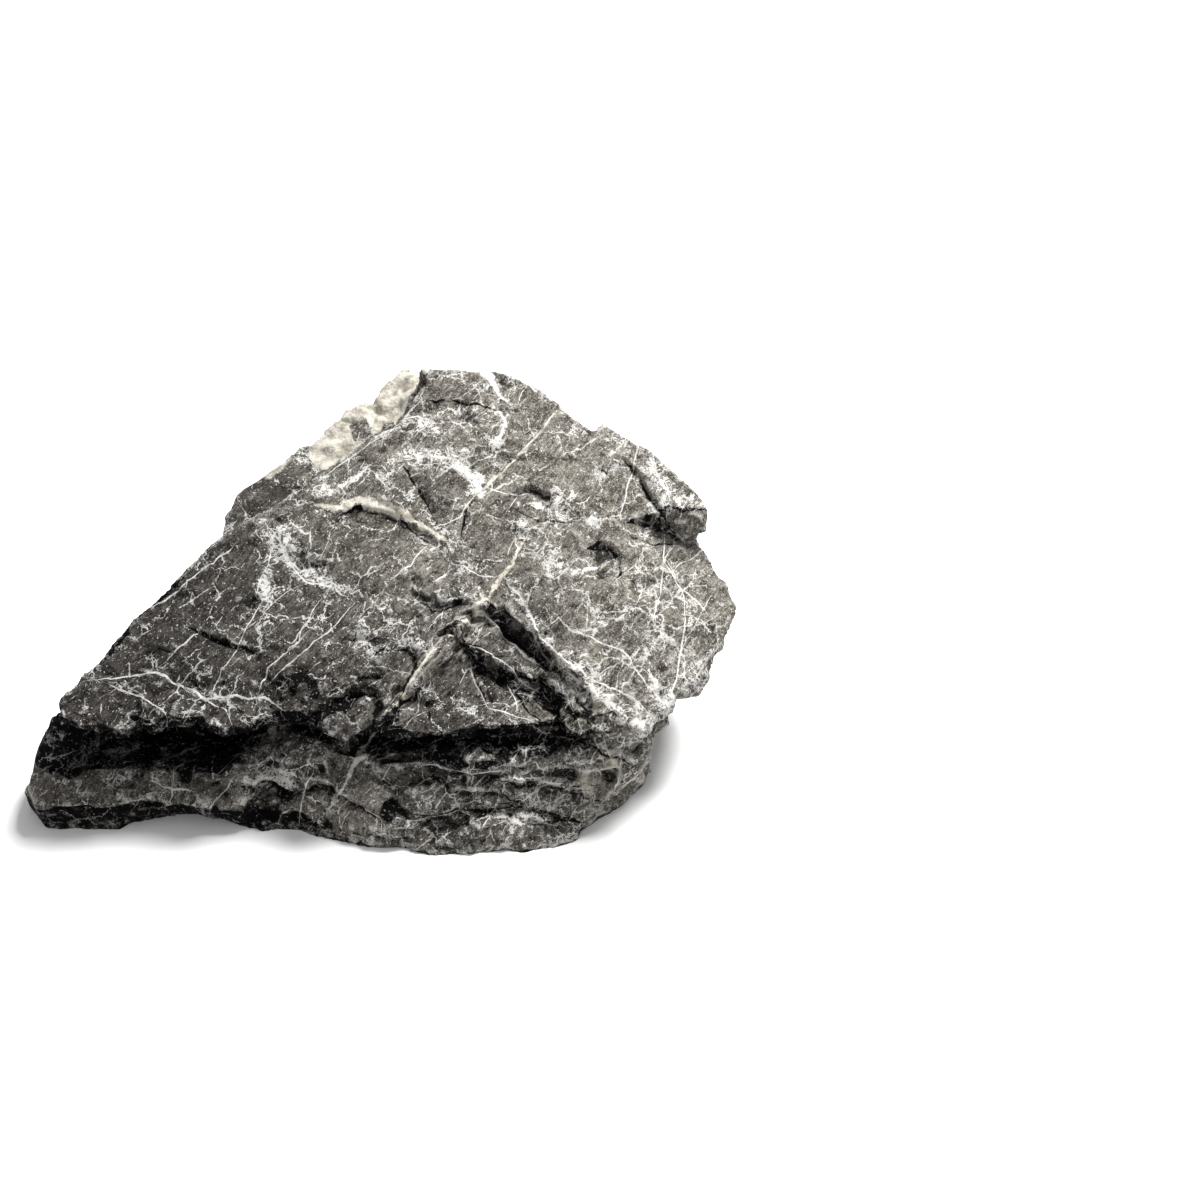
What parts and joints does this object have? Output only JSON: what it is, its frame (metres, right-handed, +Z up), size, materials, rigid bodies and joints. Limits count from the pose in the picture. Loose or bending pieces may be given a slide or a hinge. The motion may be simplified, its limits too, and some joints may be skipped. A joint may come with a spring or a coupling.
{
  "type": "seiryu stone",
  "caption": "Bedded grey limestone with pale calcite veins: a sloping upper bed over a deep front recess, on a flat base.",
  "frame": {"origin": "under the middle of the stone's box, on the surface it rests on", "axes": "+X along the longest side, to the right seen from the front; +Y to the back; +Z up"},
  "size_m": [0.2852, 0.1942, 0.1216],
  "materials": {
    "limestone": "weathered, matte, veined with pale calcite"
  },
  "bodies": {
    "root": {"seiryu_stone": "limestone"}
  },
  "joints": []
}
